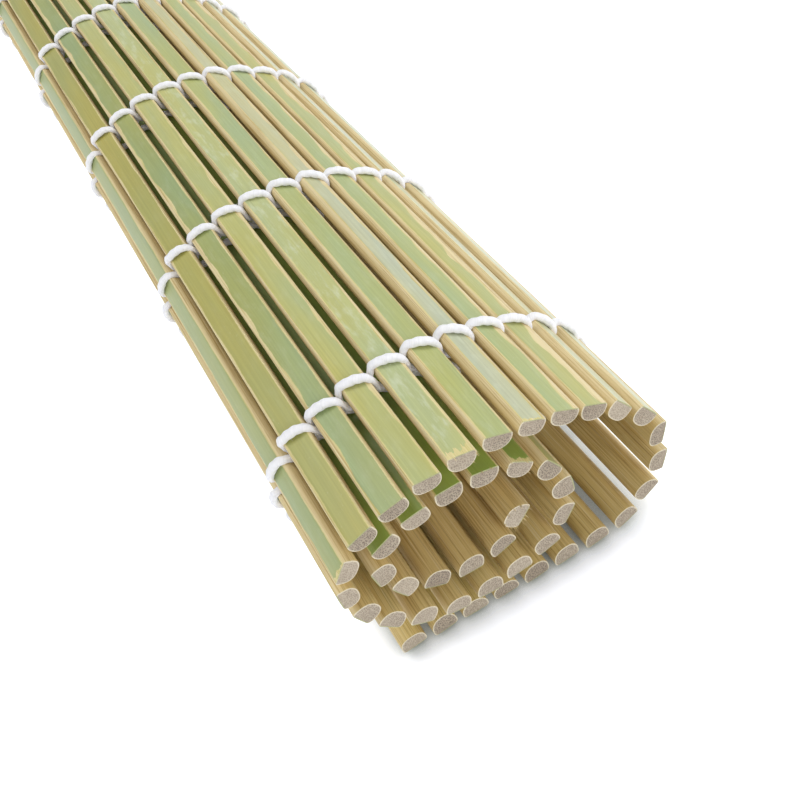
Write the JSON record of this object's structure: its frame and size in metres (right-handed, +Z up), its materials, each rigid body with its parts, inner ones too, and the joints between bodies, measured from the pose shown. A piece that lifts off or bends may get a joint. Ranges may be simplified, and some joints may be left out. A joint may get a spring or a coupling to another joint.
{
  "type": "sushi rolling mat",
  "caption": "Bamboo sushi rolling mat, rolled up loosely: split slats with green skins outwards, bound by rows of twined cotton.",
  "frame": {"origin": "on the floor under the middle of the roll's box", "axes": "+Y along the slats, away from the near ends; +Z up; seen from -Y the outer free edge is at the lower left"},
  "size_m": [0.0554, 0.2428, 0.0383],
  "materials": {
    "bamboo": "natural split bamboo, waxy green skin, fibrous sides and belly",
    "twine": "matt twisted cotton"
  },
  "bodies": {
    "root": {"slat_00": "bamboo", "slat_01": "bamboo", "slat_02": "bamboo", "slat_03": "bamboo", "slat_04": "bamboo", "slat_05": "bamboo", "slat_06": "bamboo", "slat_07": "bamboo", "slat_08": "bamboo", "slat_09": "bamboo", "slat_10": "bamboo", "slat_11": "bamboo", "slat_12": "bamboo", "slat_13": "bamboo", "slat_14": "bamboo", "slat_15": "bamboo", "slat_16": "bamboo", "slat_17": "bamboo", "slat_18": "bamboo", "slat_19": "bamboo", "slat_20": "bamboo", "slat_21": "bamboo", "slat_22": "bamboo", "slat_23": "bamboo", "slat_24": "bamboo", "slat_25": "bamboo", "slat_26": "bamboo", "slat_27": "bamboo", "slat_28": "bamboo", "slat_29": "bamboo", "slat_30": "bamboo", "slat_31": "bamboo", "slat_32": "bamboo", "slat_33": "bamboo", "slat_34": "bamboo", "slat_35": "bamboo", "slat_36": "bamboo", "slat_37": "bamboo", "slat_38": "bamboo", "slat_39": "bamboo", "slat_40": "bamboo", "slat_41": "bamboo", "slat_42": "bamboo", "slat_43": "bamboo", "twine_row_1": "twine", "twine_row_2": "twine", "twine_row_3": "twine", "twine_row_4": "twine", "twine_row_5": "twine"}
  },
  "joints": []
}
